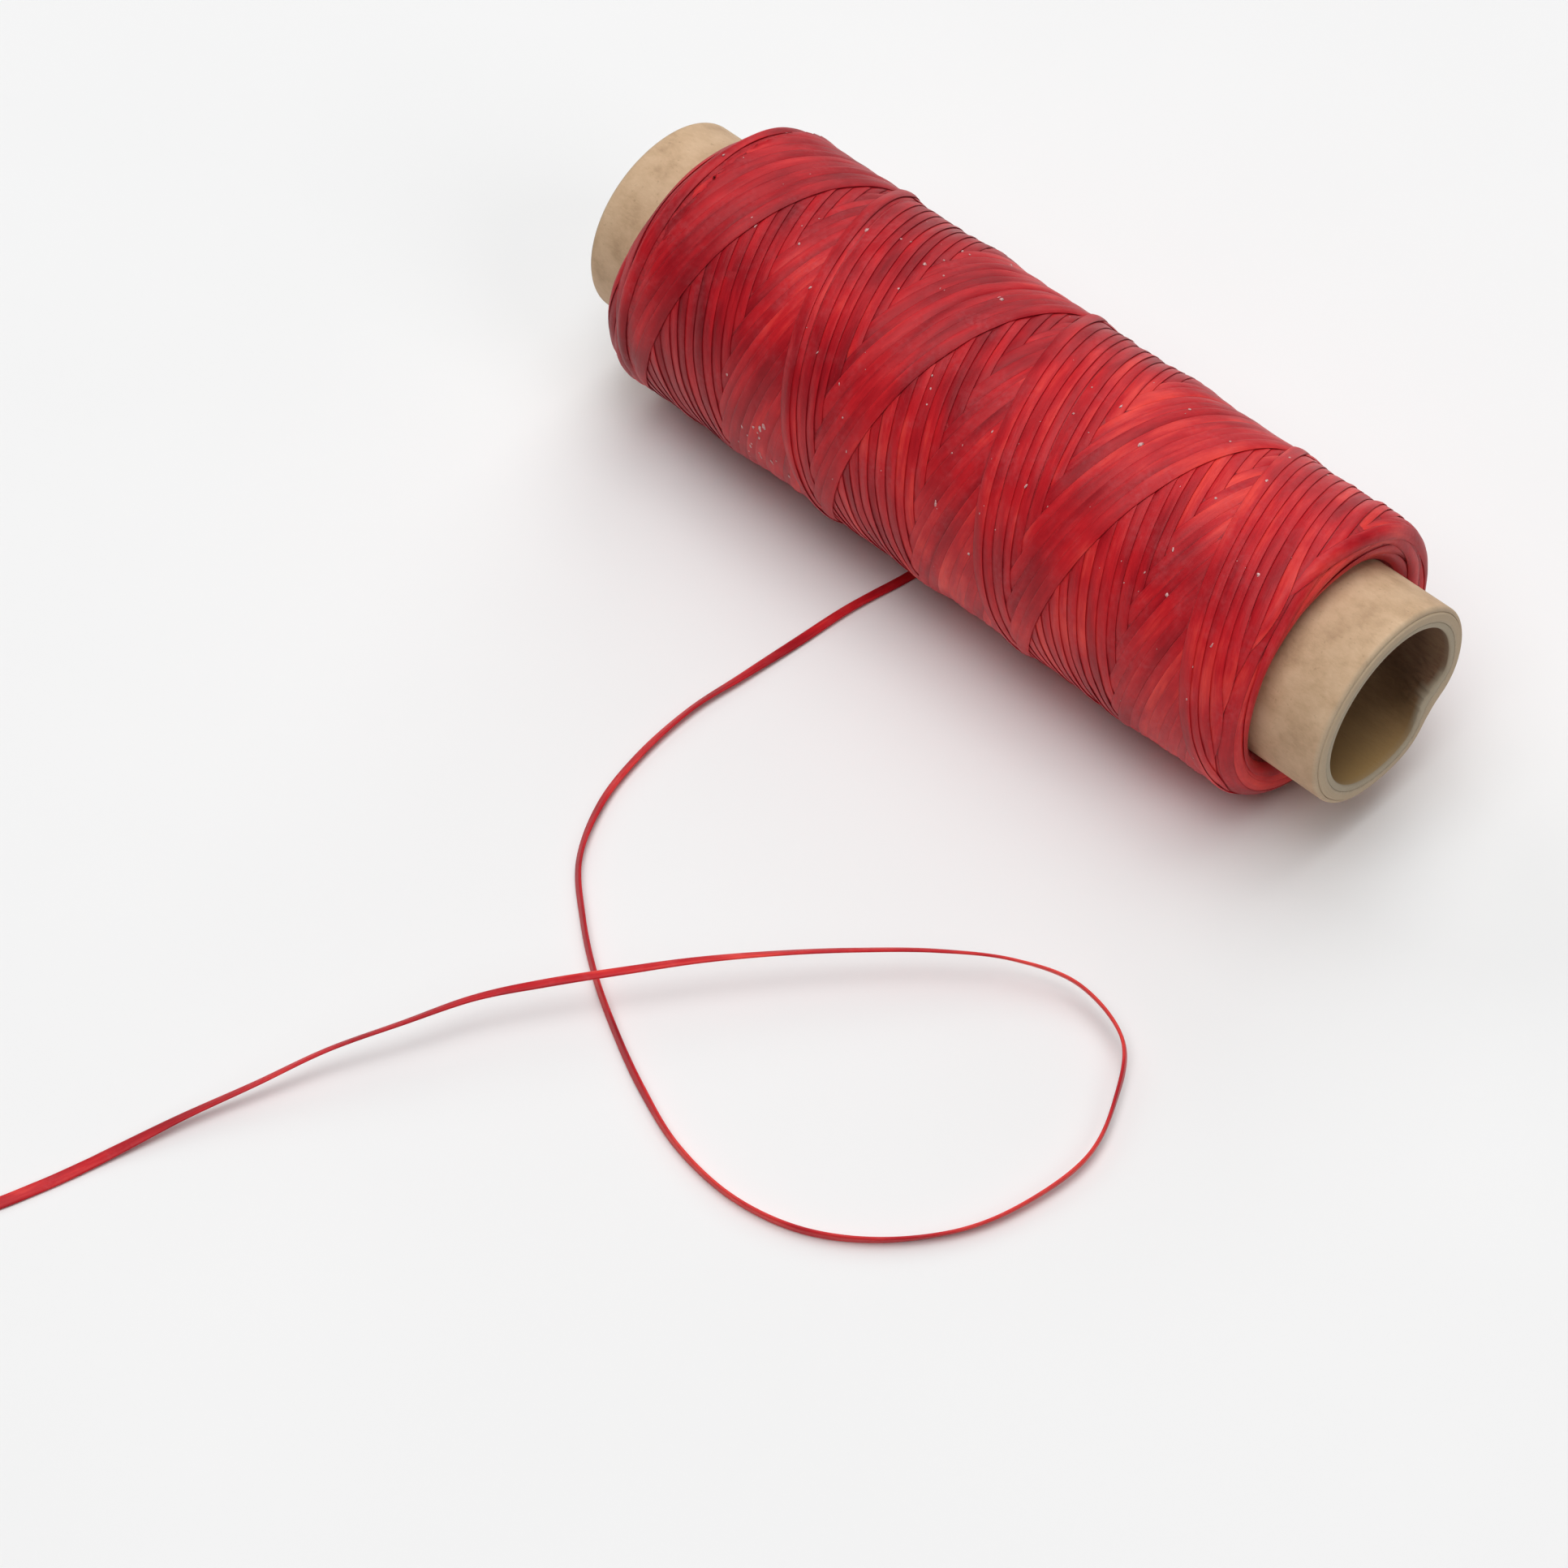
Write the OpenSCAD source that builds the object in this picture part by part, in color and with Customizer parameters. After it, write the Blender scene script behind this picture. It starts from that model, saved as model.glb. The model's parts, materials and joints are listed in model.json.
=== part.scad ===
// Waxed thread spool, lying on its side with its loose end drawn off.
// A spiral-wound paper tube of three glued plies carries a cross-wound package
// of flat waxed thread. The package stands wider than the tube, so the spool
// rests on the package, and the tube's two bare ends hang clear of the surface.
// Millimetres. +X runs along the tube, +Z is up, the surface is z = 0, and the
// origin is under the middle of the tube.

/* [Paper tube] */
// Length of the tube
tube_length = 84; // [80:1:96]
// Outer diameter of the tube
tube_diameter = 18.8; // [17:0.2:19.2]
// Thickness of the tube's wall, all plies together
tube_wall = 1.9; // [1.6:0.1:2.4]
// Thickness of the kraft cover ply
cover_ply = 0.4; // [0.2:0.1:0.5]
// Thickness of the liner ply
liner_ply = 0.6; // [0.4:0.1:0.8]
// Radius that wear has put on the outer edge of the cover ply
rim_radius = 0.2; // [0.1:0.05:0.2]

/* [Winding] */
// Diameter of the wound package
winding_diameter = 27; // [26:0.5:32]
// Length of the wound package along the tube
winding_length = 71.4; // [60:0.2:72]
// Distance of the package's middle from the tube's middle
winding_offset = -0.2; // [-2:0.1:2]
// Radius of the rounded shoulders, where the thread turns back
shoulder_radius = 2; // [1:0.1:2.2]
// Radius of the package's ends where they roll in towards the tube
lip_radius = 0.9; // [0.3:0.1:1]
// How far each layer's end laps over the end of the layer under it
end_lap = 1.3; // [0.8:0.1:2]

/* [Thread] */
// Width of the flat thread
thread_width = 1.1; // [0.8:0.1:1.4]
// Thickness of the flat thread
thread_thickness = 0.3; // [0.2:0.05:0.4]
// Number of straight turns that anchor the thread's inner end
anchor_count = 8; // [4:1:12]

/* [Hidden] */
$fn = 96;

// glue line between plies, and between the tube and the winding
glue_gap = 0.02;
// slack between one winding layer and the next
layer_gap = 0.06;

tube_radius = tube_diameter / 2;
bore_radius = tube_radius - tube_wall;
inner_ply_radius = bore_radius + liner_ply;
cover_inner_radius = tube_radius - cover_ply;

winding_radius = winding_diameter / 2;
core_radius = tube_radius + glue_gap;
layer_depth = (winding_radius - core_radius) / 3;
axis_height = winding_radius;

// the anchor turns lie against the tube, inside the left third of the package
anchor_length = anchor_count * thread_width;
anchor_middle = -winding_length / 3;
anchor_radius = core_radius + thread_thickness;

// Centre line of the free thread as [x, y, lift], where lift is the height of
// the thread's underside. It leaves under the package, makes one loop on the
// surface and crosses over its own first run in a long low hump.
ROUTE = [
    [-4, -4, 0], [-4.5, -8, 0], [-5.5, -14, 0], [-6, -20, 0], [-6.5, -26, 0], [-7, -32, 0],
    [-6.5, -38.5, 0], [-5, -44.5, 0], [-2, -50, 0], [2.5, -54, 0], [7.5, -57.5, 0],
    [13, -60.5, 0], [18.5, -63, 0], [24.5, -65, 0], [31, -65.5, 0], [37, -64, 0],
    [42, -60.5, 0], [46, -55.5, 0], [48, -50, 0], [48.5, -43.5, 0.1], [46.5, -38, 0.3],
    [43, -33, 0.7], [37, -31.5, 1.2], [31.5, -33.5, 1.6], [26.5, -37.5, 2], [22, -42, 2.2],
    [18, -46.5, 2.4], [14, -51.5, 2.6], [10.5, -56.5, 2.7], [6.5, -62, 2.6], [3.5, -67, 2.2],
    [1, -72.5, 1.6], [-1.5, -78.5, 1.1], [-3.5, -84.5, 0.6], [-5.5, -90.5, 0.2],
    [-7, -96.5, 0], [-8.5, -102.5, 0], [-10.5, -108, 0], [-14, -114, 0], [-18.5, -119, 0]
];
// rings of the thread's tube between one route point and the next
RINGS = 2;
// corners of the thread's cross-section
SIDES = 8;
// straight steps in each rounded corner of the package's section
ARC_STEPS = 8;

// Catmull-Rom curve through b and c at t from 0 to 1, with a and d beyond them.
function between(a, b, c, d, t) =
    (2 * b + (c - a) * t + (2 * a - 5 * b + 4 * c - d) * t * t
     + (3 * b - a - 3 * c + d) * t * t * t) / 2;

function route_point(i) = ROUTE[max(0, min(len(ROUTE) - 1, i))];

centres = [
    for (i = [0 : (len(ROUTE) - 1) * RINGS])
        let (k = floor(i / RINGS),
             p = between(route_point(k - 1), route_point(k), route_point(k + 1),
                         route_point(k + 2), i / RINGS - k))
        [p.x, p.y, max(0, p.z)]
];

function heading(i) =
    let (step = centres[min(len(centres) - 1, i + 1)] - centres[max(0, i - 1)])
    step / norm(step);

// One ring of the flat thread, across its heading, with its underside on the route.
function ring(i) =
    let (ahead = heading(i),
         side = cross(ahead, [0, 0, 1]) / norm(cross(ahead, [0, 0, 1])),
         up = cross(side, ahead))
    [for (k = [0 : SIDES - 1])
        let (turn = (k + 0.5) * 360 / SIDES)
        centres[i] + [0, 0, thread_thickness / 2]
        + side * cos(turn) * thread_width / 2
        + up * sin(turn) * thread_thickness / 2];

// A ring turned about X between two radii, from x = low to x = high.
module sleeve(r_in, r_out, low, high) {
    rotate([90, 0, 90])
        rotate_extrude()
            translate([r_in, low])
                square([r_out - r_in, high - low]);
}

// Points of an arc about [r, x], from angle a to angle b.
function arc(r, x, radius, a, b) = [
    for (i = [0 : ARC_STEPS])
        let (turn = a + (b - a) * i / ARC_STEPS)
        [r + radius * cos(turn), x + radius * sin(turn)]
];

// Half-section of the package out to layer 1, 2 or 3, with round shoulders, with
// its ends rolled in towards the tube, and larger all round by slack.
module package_section(n, slack = 0) {
    shoulder = shoulder_radius * n / 3;
    lip = lip_radius * n / 3;
    half = winding_length / 2 - (3 - n) * end_lap;
    crown = core_radius + n * layer_depth - shoulder;
    polygon(concat(
        arc(core_radius + lip, lip - half, lip + slack, 180, 270),
        arc(crown, shoulder - half, shoulder + slack, 270, 360),
        arc(crown, half - shoulder, shoulder + slack, 0, 90),
        arc(core_radius + lip, half - lip, lip + slack, 90, 180)
    ));
}

// One layer of the package, wrapped round the layer under it with a small slack.
module winding_layer(n) {
    translate([winding_offset, 0, axis_height])
        rotate([90, 0, 90])
            rotate_extrude()
                difference() {
                    package_section(n);
                    if (n > 1)
                        package_section(n - 1, layer_gap);
                }
}

module inner_ply() {
    color("#8a7a52")
        translate([0, 0, axis_height])
            sleeve(bore_radius, inner_ply_radius, -tube_length / 2, tube_length / 2);
}

module middle_ply() {
    color("#a8977c")
        translate([0, 0, axis_height])
            sleeve(inner_ply_radius + glue_gap, cover_inner_radius - glue_gap,
                   -tube_length / 2, tube_length / 2);
}

module outer_ply() {
    half = tube_length / 2;
    color("#c8ad8c")
        translate([0, 0, axis_height])
            rotate([90, 0, 90])
                rotate_extrude() {
                    translate([cover_inner_radius, -half + rim_radius])
                        square([cover_ply, tube_length - 2 * rim_radius]);
                    translate([cover_inner_radius, -half])
                        square([cover_ply - rim_radius, tube_length]);
                    for (end = [-1, 1])
                        translate([tube_radius - rim_radius, end * (half - rim_radius)])
                            circle(rim_radius);
                }
}

module anchor_turns() {
    color("#8c1a22")
        translate([winding_offset + anchor_middle, 0, axis_height])
            sleeve(core_radius, anchor_radius, -anchor_length / 2, anchor_length / 2);
}

module inner_winding() {
    color("#9c1e28")
        difference() {
            winding_layer(1);
            translate([winding_offset + anchor_middle, 0, axis_height])
                sleeve(core_radius - 1, anchor_radius + glue_gap,
                       -anchor_length / 2 - glue_gap, anchor_length / 2 + glue_gap);
        }
}

module middle_winding() {
    color("#ac222c")
        winding_layer(2);
}

module outer_winding() {
    color("#b82830")
        winding_layer(3);
}

// One swept solid. Its two ends are fans of triangles and its sides are split quads.
module free_thread() {
    count = len(centres);
    points = [for (i = [0 : count - 1]) each ring(i)];
    last = (count - 1) * SIDES;
    sides = [
        for (i = [0 : count - 2], k = [0 : SIDES - 1])
            let (a = i * SIDES + k, b = i * SIDES + (k + 1) % SIDES)
            each [[a, b, b + SIDES], [a, b + SIDES, a + SIDES]]
    ];
    start = [for (k = [1 : SIDES - 2]) [0, k + 1, k]];
    end = [for (k = [1 : SIDES - 2]) [last, last + k, last + k + 1]];
    color("#c8323c")
        polyhedron(points, concat(sides, start, end));
}

inner_ply();
middle_ply();
outer_ply();
anchor_turns();
inner_winding();
middle_winding();
outer_winding();
free_thread();
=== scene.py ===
"""Waxed thread spool: the looks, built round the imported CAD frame.

Points and lengths are worked out in millimetres and become metres when a mesh is made.
Angles on the spool run round the tube's axis: 0 is the back (+Y), 90 the top, 180 the
front (-Y) and 270 the floor.
"""
import json
import math

import bpy
import numpy as np
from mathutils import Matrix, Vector


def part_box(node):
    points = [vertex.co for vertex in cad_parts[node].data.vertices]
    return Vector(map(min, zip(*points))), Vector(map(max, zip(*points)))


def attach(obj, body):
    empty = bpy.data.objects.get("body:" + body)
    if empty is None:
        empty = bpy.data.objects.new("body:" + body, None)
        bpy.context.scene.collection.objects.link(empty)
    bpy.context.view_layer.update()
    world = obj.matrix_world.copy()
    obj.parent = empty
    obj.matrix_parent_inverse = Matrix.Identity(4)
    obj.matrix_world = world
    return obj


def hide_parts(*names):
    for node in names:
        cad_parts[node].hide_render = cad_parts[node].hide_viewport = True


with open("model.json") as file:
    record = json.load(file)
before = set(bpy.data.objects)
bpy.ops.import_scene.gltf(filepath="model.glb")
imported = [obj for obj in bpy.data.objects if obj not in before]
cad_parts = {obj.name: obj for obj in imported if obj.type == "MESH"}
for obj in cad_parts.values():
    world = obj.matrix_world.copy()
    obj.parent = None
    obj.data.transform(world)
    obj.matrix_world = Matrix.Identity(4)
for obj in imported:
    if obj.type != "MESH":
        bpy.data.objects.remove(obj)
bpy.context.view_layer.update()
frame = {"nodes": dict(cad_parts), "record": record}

MM = 0.001
rng = np.random.default_rng(7)

# ---------------------------------------------------------------- sizes from the frame


def node_box(node):
    """Lowest and highest corner of a CAD node, in millimetres."""
    low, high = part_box(node)
    return low / MM, high / MM


def node_radius(node):
    """Outer radius of a round CAD node."""
    low, high = node_box(node)
    return (high.z - low.z) / 2


tube_low, tube_high = node_box("outer_ply")
package_low, package_high = node_box("outer_winding")
AXIS_HEIGHT = (tube_high.z + tube_low.z) / 2
TUBE_END = tube_high.x
TUBE_RADIUS = node_radius("outer_ply")
BOARD_RADIUS = node_radius("middle_ply")
LINER_RADIUS = node_radius("inner_ply")
BORE_RADIUS = frame["record"]["mounts"][0]["dims"]["r_mm"]
PACKAGE_RADIUS = node_radius("outer_winding")

THREAD_WIDTH = 1.1
THREAD_THICKNESS = 0.3
# On the package the thread is pressed flat under tension.
WOUND_WIDTH = 1.2
WOUND_THICKNESS = 0.2
# Wound strands, crumbs and the cut end stay at least this far above the floor.
FLOOR_GAP = 0.01

# ---------------------------------------------------------------- camera, floor, light

CAMERA_AZIMUTH = math.radians(44.2)
CAMERA_ELEVATION = math.radians(49.6)
CAMERA_TARGET = Vector((4.23, -32.1, 0)) * MM
CAMERA_DISTANCE = 409 * MM
CAMERA_LENS = 111.8
SENSOR_WIDTH = 36

LAMP_TARGET = Vector((0, -0.02, 0.01))
LAMP_DISTANCE = 1.0
# Lamps as (name, azimuth, elevation, diameter in metres, watts), with angles in degrees.
LAMPS = [
    ("overhead", 0, 88, 0.8, 2.1),
    ("front", 10, 68, 0.8, 4.2),
    ("back", 200, 70, 0.8, 3.1),
    ("low_back", 205, 30, 0.7, 2.0),
    ("left", 265, 35, 0.6, 1.3),
    ("right", 88, 38, 0.5, 1.35),
]
WORLD_STRENGTH = 0.02
FLOOR_HALF = 3000


def away(azimuth, elevation):
    """Unit vector from the object towards a viewer or a lamp."""
    return Vector((
        math.sin(azimuth) * math.cos(elevation),
        -math.cos(azimuth) * math.cos(elevation),
        math.sin(elevation),
    ))


def aim(obj, target, direction, distance):
    """Puts a camera or a lamp at a distance from the target, looking at it."""
    obj.location = target + direction * distance
    obj.rotation_mode = "QUATERNION"
    obj.rotation_quaternion = (-direction).to_track_quat("-Z", "Y")


def make_camera():
    """The main view, from above the front right."""
    data = bpy.data.cameras.new("camera")
    data.lens = CAMERA_LENS
    data.sensor_width = SENSOR_WIDTH
    data.clip_start = 0.01
    data.clip_end = 10
    camera = bpy.data.objects.new("camera", data)
    bpy.context.scene.collection.objects.link(camera)
    aim(camera, CAMERA_TARGET, away(CAMERA_AZIMUTH, CAMERA_ELEVATION), CAMERA_DISTANCE)
    bpy.context.scene.camera = camera


def make_light():
    """Large soft lamps from all sides, as over a product table."""
    world = bpy.data.worlds.new("studio")
    world.use_nodes = True
    background = world.node_tree.nodes["Background"]
    background.inputs["Color"].default_value = (1, 1, 1, 1)
    background.inputs["Strength"].default_value = WORLD_STRENGTH
    bpy.context.scene.world = world
    for name, azimuth, elevation, size, power in LAMPS:
        data = bpy.data.lights.new(name, "AREA")
        data.shape = "DISK"
        data.size = size
        data.energy = power
        lamp = bpy.data.objects.new(name, data)
        bpy.context.scene.collection.objects.link(lamp)
        direction = away(math.radians(azimuth), math.radians(elevation))
        aim(lamp, LAMP_TARGET, direction, LAMP_DISTANCE)
    bpy.context.scene.view_settings.view_transform = "Standard"


# ---------------------------------------------------------------- material helpers


class Nodes:
    """A material's node tree, with short calls that add a node and link its inputs."""

    def __init__(self, name):
        self.material = bpy.data.materials.new(name)
        self.material.use_nodes = True
        self.tree = self.material.node_tree
        self.shader = self.tree.nodes["Principled BSDF"]

    def add(self, kind, inputs=(), **settings):
        node = self.tree.nodes.new(kind)
        for key, value in settings.items():
            setattr(node, key, value)
        for key, value in dict(inputs).items():
            self.put(node.inputs[key], value)
        return node

    def put(self, socket, value):
        if isinstance(value, bpy.types.NodeSocket):
            self.tree.links.new(value, socket)
        else:
            socket.default_value = value

    def attribute(self, name):
        return self.add("ShaderNodeAttribute", attribute_name=name).outputs["Fac"]

    def math(self, operation, a, b):
        return self.add("ShaderNodeMath", {0: a, 1: b}, operation=operation).outputs[0]

    def weigh(self, a, share, b):
        """The sum of a share of a and the rest of b."""
        rest = self.math("MULTIPLY", b, 1 - share)
        return self.math("ADD", self.math("MULTIPLY", a, share), rest)

    def place(self, along, across=None):
        """Object coordinates in millimetres, scaled along the tube (X) and across it (Y, Z)."""
        across = along if across is None else across
        at = self.add("ShaderNodeTexCoord").outputs["Object"]
        stretch = (along / MM, across / MM, across / MM)
        return self.add("ShaderNodeVectorMath", {0: at, 1: stretch}, operation="MULTIPLY").outputs[0]

    def noise(self, vector, detail=2.0, roughness=0.5, distortion=0.0):
        return self.add("ShaderNodeTexNoise", {
            "Vector": vector, "Scale": 1.0, "Detail": detail,
            "Roughness": roughness, "Distortion": distortion,
        }).outputs["Fac"]

    def ramp(self, factor, *stops):
        """Colour ramp through (position, colour) stops."""
        node = self.add("ShaderNodeValToRGB", {"Fac": factor})
        elements = node.color_ramp.elements
        while len(elements) < len(stops):
            elements.new(0.5)
        for element, (position, colour) in zip(elements, stops):
            element.position = position
            element.color = (*colour, 1)
        return node.outputs["Color"]

    def spread(self, value, low, high, new_low=0.0, new_high=1.0):
        """Maps low..high to new_low..new_high, clamped."""
        return self.add("ShaderNodeMapRange", {
            "Value": value, "From Min": low, "From Max": high, "To Min": new_low, "To Max": new_high,
        }).outputs["Result"]

    def mix(self, factor, under, colour):
        """The colour laid over what is under it, as much as factor says."""
        node = self.add("ShaderNodeMix", data_type="RGBA")
        self.put(node.inputs["Factor"], factor)
        self.put(node.inputs["A"], under)
        self.put(node.inputs["B"], (*colour, 1))
        return node.outputs["Result"]

    def bump(self, height, distance, strength=1.0, normal=None):
        inputs = {"Height": height, "Distance": distance * MM, "Strength": strength}
        node = self.add("ShaderNodeBump", inputs)
        if normal is not None:
            self.put(node.inputs["Normal"], normal)
        return node.outputs["Normal"]

    def finish(self, colour, roughness, normal=None, **uniform):
        self.put(self.shader.inputs["Base Color"], colour)
        self.put(self.shader.inputs["Roughness"], roughness)
        if normal is not None:
            self.put(self.shader.inputs["Normal"], normal)
        for name, value in uniform.items():
            self.shader.inputs[name.replace("_", " ")].default_value = value
        return self.material


# ---------------------------------------------------------------- materials

DEEP_RED = (0.15, 0.002, 0.006)
MID_RED = (0.36, 0.005, 0.012)
CLEAR_RED = (0.57, 0.012, 0.019)
BRIGHT_RED = (0.86, 0.062, 0.048)
# Pale pink of wax bloom, partly a painted sheen.
WAX_BLOOM_AND_SHEEN = (0.60, 0.20, 0.22)
SPECK_BROWN = (0.30, 0.18, 0.10)
RUBBED_KRAFT = (0.42, 0.355, 0.26)
PALE_BOARD = (0.53, 0.40, 0.265)
# Ochre for the painted light on the bore's low side.
OCHRE_PAINTED_LIGHT = (0.52, 0.33, 0.13)
WORN_LINER = (0.44, 0.365, 0.265)


def thread_material():
    """Flat filament thread: streaks along it, drifting dye, pale patches of wax bloom and painted sheen, and
    a satin sheen.
    """
    n = Nodes("waxed_thread")
    along, across, strand = n.attribute("along"), n.attribute("across"), n.attribute("strand")
    # Each strand reads its own part of the noise.
    own = n.math("MULTIPLY", strand, 61.7)

    def stretched(per_mm, per_width):
        return n.add("ShaderNodeCombineXYZ", {
            "X": n.math("MULTIPLY", along, per_mm),
            "Y": n.math("MULTIPLY", across, per_width),
            "Z": own,
        }).outputs[0]

    filaments = n.noise(stretched(0.35, 5.0), 3, 0.6)
    drift = n.noise(stretched(0.16, 0.5))
    ply = n.noise(stretched(0.9, 1.6))
    region = n.noise(n.place(0.1))
    # The thread is a little darker towards the left end and lighter towards the right.
    x = n.add("ShaderNodeSeparateXYZ", {"Vector": n.place(1)}).outputs["X"]
    tone = n.math("ADD", n.math("MULTIPLY", x, 0.003), 0.535)
    shares = ((drift, 0.85), (filaments, 0.25), (ply, 0.2), (strand, 0.25), (region, 0.85))
    for shade, share in shares:
        tone = n.math("ADD", tone, n.math("MULTIPLY", n.math("SUBTRACT", shade, 0.5), share))
    dyed = n.ramp(tone, (0.0, DEEP_RED), (0.38, MID_RED), (0.68, CLEAR_RED), (1.0, BRIGHT_RED))
    patches = n.spread(n.noise(n.place(0.28), 4, 0.62), 0.46, 0.72)
    grain = n.spread(n.noise(n.place(2.2), 3, 0.6), 0.35, 0.7)
    # Pale patches: partly wax bloom, partly painted sheen.
    bloom_and_sheen = n.math("MULTIPLY", n.math("MULTIPLY", patches, grain), 0.2)
    colour = n.mix(bloom_and_sheen, dyed, WAX_BLOOM_AND_SHEEN)
    roughness = n.spread(n.math("ADD", patches, filaments), 0.3, 1.6, 0.40, 0.6)
    streaks = n.bump(filaments, 0.03, 0.6)
    normal = n.bump(n.noise(n.place(2.5)), 0.03, 0.5, streaks)
    return n.finish(
        colour, roughness, normal, Specular_IOR_Level=0.22,
        Sheen_Weight=0.05, Sheen_Roughness=0.4, Sheen_Tint=(1.0, 0.6, 0.64, 1),
    )


def core_material():
    """Older layers, seen only between the outer strands, in a darker red than theirs: painted shade in the
    gaps.
    """
    n = Nodes("waxed_thread_under")
    shade = n.noise(n.place(0.6, 2.4), 3)
    # A darker red than the strands': painted shade between them.
    colour = n.ramp(shade, (0.3, (0.32, 0.005, 0.011)), (0.7, (0.48, 0.010, 0.018)))
    return n.finish(colour, n.spread(shade, 0.3, 0.7, 0.5, 0.7), n.bump(shade, 0.15))


def kraft_material():
    """Brown kraft paper with fine fibres, soft mottling and a few darker specks."""
    n = Nodes("kraft_cover")
    fibres = n.noise(n.place(1.6, 3.4), 4, 0.65, 0.6)
    mottle = n.noise(n.place(0.35), 4, 0.55)
    tone = n.weigh(fibres, 0.28, mottle)
    dark, middle, pale = (0.44, 0.285, 0.165), (0.60, 0.41, 0.25), (0.71, 0.51, 0.33)
    paper = n.ramp(tone, (0.3, dark), (0.5, middle), (0.72, pale))
    specks = n.spread(n.noise(n.place(2.6)), 0.66, 0.76)
    speckled = n.mix(n.math("MULTIPLY", specks, 0.35), paper, SPECK_BROWN)
    # The paper is rubbed over its last half millimetre.
    rubbed = n.spread(n.attribute("end"), 0.6, 0.12, 0.0, 0.5)
    colour = n.mix(rubbed, speckled, RUBBED_KRAFT)
    roughness = n.spread(fibres, 0.3, 0.7, 0.58, 0.76)
    return n.finish(colour, roughness, n.bump(fibres, 0.05, 0.6), Specular_IOR_Level=0.35)


def board_material():
    """Grey-tan board at the cut ends, rubbed smooth, with its layers just showing."""
    n = Nodes("tube_board")
    pulp = n.noise(n.place(2.2), 5, 0.65)
    radius = n.attribute("radius")
    layer = n.math("MULTIPLY", radius, 9.0)
    layers = n.add("ShaderNodeCombineXYZ", {"X": layer, "Y": n.attribute("turn")}).outputs[0]
    tone = n.weigh(pulp, 0.6, n.noise(layers))
    dark, middle, pale = (0.30, 0.235, 0.16), (0.44, 0.36, 0.265), (0.55, 0.465, 0.355)
    pressed = n.ramp(tone, (0.3, dark), (0.5, middle), (0.7, pale))
    # It is paler towards the cover.
    colour = n.mix(n.spread(radius, 7.95, 8.4, 0.0, 0.8), pressed, PALE_BOARD)
    roughness = n.spread(pulp, 0.3, 0.7, 0.66, 0.85)
    return n.finish(colour, roughness, n.bump(tone, 0.09, 0.7), Specular_IOR_Level=0.3)


def liner_material():
    """Brown board lining, lighter ochre on the low side of the bore near its mouth: painted light."""
    n = Nodes("tube_liner")
    fibres = n.noise(n.place(0.8, 3.0), 5, 0.65, 0.5)
    mottle = n.noise(n.place(0.3), 3)
    tone = n.weigh(fibres, 0.5, mottle)
    dark, middle, pale = (0.14, 0.074, 0.044), (0.25, 0.14, 0.082), (0.35, 0.22, 0.125)
    lining = n.ramp(tone, (0.3, dark), (0.52, middle), (0.72, pale))
    # Painted light: ochre over the bore's low side, strongest at its mouth.
    lining_with_painted_light = n.mix(n.attribute("bore_painted_light"), lining, OCHRE_PAINTED_LIGHT)
    colour = n.mix(n.attribute("worn"), lining_with_painted_light, WORN_LINER)
    roughness = n.spread(fibres, 0.3, 0.7, 0.7, 0.9)
    return n.finish(colour, roughness, n.bump(fibres, 0.08, 0.7), Specular_IOR_Level=0.25)


def wax_material():
    """Crumbs of pale wax, tinted by the thread under them."""
    n = Nodes("wax_crumbs")
    grain = n.noise(n.place(6.0), 3)
    colour = n.ramp(grain, (0.35, (0.50, 0.18, 0.18)), (0.65, (0.78, 0.52, 0.50)))
    return n.finish(colour, n.spread(grain, 0.3, 0.7, 0.35, 0.6), n.bump(grain, 0.03, 0.6))


def floor_material():
    """Plain white paper, very slightly uneven."""
    n = Nodes("paper_floor")
    grain = n.noise(n.place(0.02), 3)
    colour = n.ramp(grain, (0.3, (0.885, 0.886, 0.886)), (0.7, (0.900, 0.901, 0.901)))
    return n.finish(colour, 0.9, Specular_IOR_Level=0.1)


# ---------------------------------------------------------------- mesh helpers


def make_piece(name, points, faces, material, attributes=None, rounded=True):
    """A mesh object from points in millimetres."""
    mesh = bpy.data.meshes.new(name)
    points = np.asarray(points, float) * MM
    faces = np.asarray(faces, int)
    mesh.vertices.add(len(points))
    mesh.vertices.foreach_set("co", points.astype(np.float32).ravel())
    corners = faces.shape[1]
    mesh.loops.add(faces.size)
    mesh.loops.foreach_set("vertex_index", faces.astype(np.int32).ravel())
    mesh.polygons.add(len(faces))
    mesh.polygons.foreach_set("loop_start", np.arange(0, faces.size, corners, dtype=np.int32))
    for key, values in (attributes or {}).items():
        layer = mesh.attributes.new(key, "FLOAT", "POINT")
        layer.data.foreach_set("value", np.asarray(values, np.float32))
    mesh.materials.append(material)
    mesh.update()
    mesh.validate()
    if rounded:
        mesh.shade_smooth()
    obj = bpy.data.objects.new(name, mesh)
    bpy.context.scene.collection.objects.link(obj)
    return obj


def tube_faces(rings, sides, first=0):
    """Quads between rings of points, and quads folded over each end to close it."""
    here = np.arange(rings - 1)[:, None] * sides + np.arange(sides)[None, :]
    beside = np.arange(rings - 1)[:, None] * sides + (np.arange(sides)[None, :] + 1) % sides
    quads = np.stack([here, beside, beside + sides, here + sides], axis=-1).reshape(-1, 4)
    last = (rings - 1) * sides
    caps = []
    for k in range((sides - 2) // 2):
        a, b, c, d = k, k + 1, sides - 2 - k, sides - 1 - k
        caps.append([d, c, b, a])
        caps.append([last + a, last + b, last + c, last + d])
    return np.concatenate([quads, np.array(caps)]) + first


def ring_faces(rings, sides):
    """Quads of a closed ring: each ring of points joins the next, and the last the first."""
    here = np.arange(rings)[:, None] * sides + np.arange(sides)[None, :]
    beside = np.roll(here, -1, axis=1)
    corners = [here, beside, np.roll(beside, -1, axis=0), np.roll(here, -1, axis=0)]
    return np.stack(corners, axis=-1).reshape(-1, 4)


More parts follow.
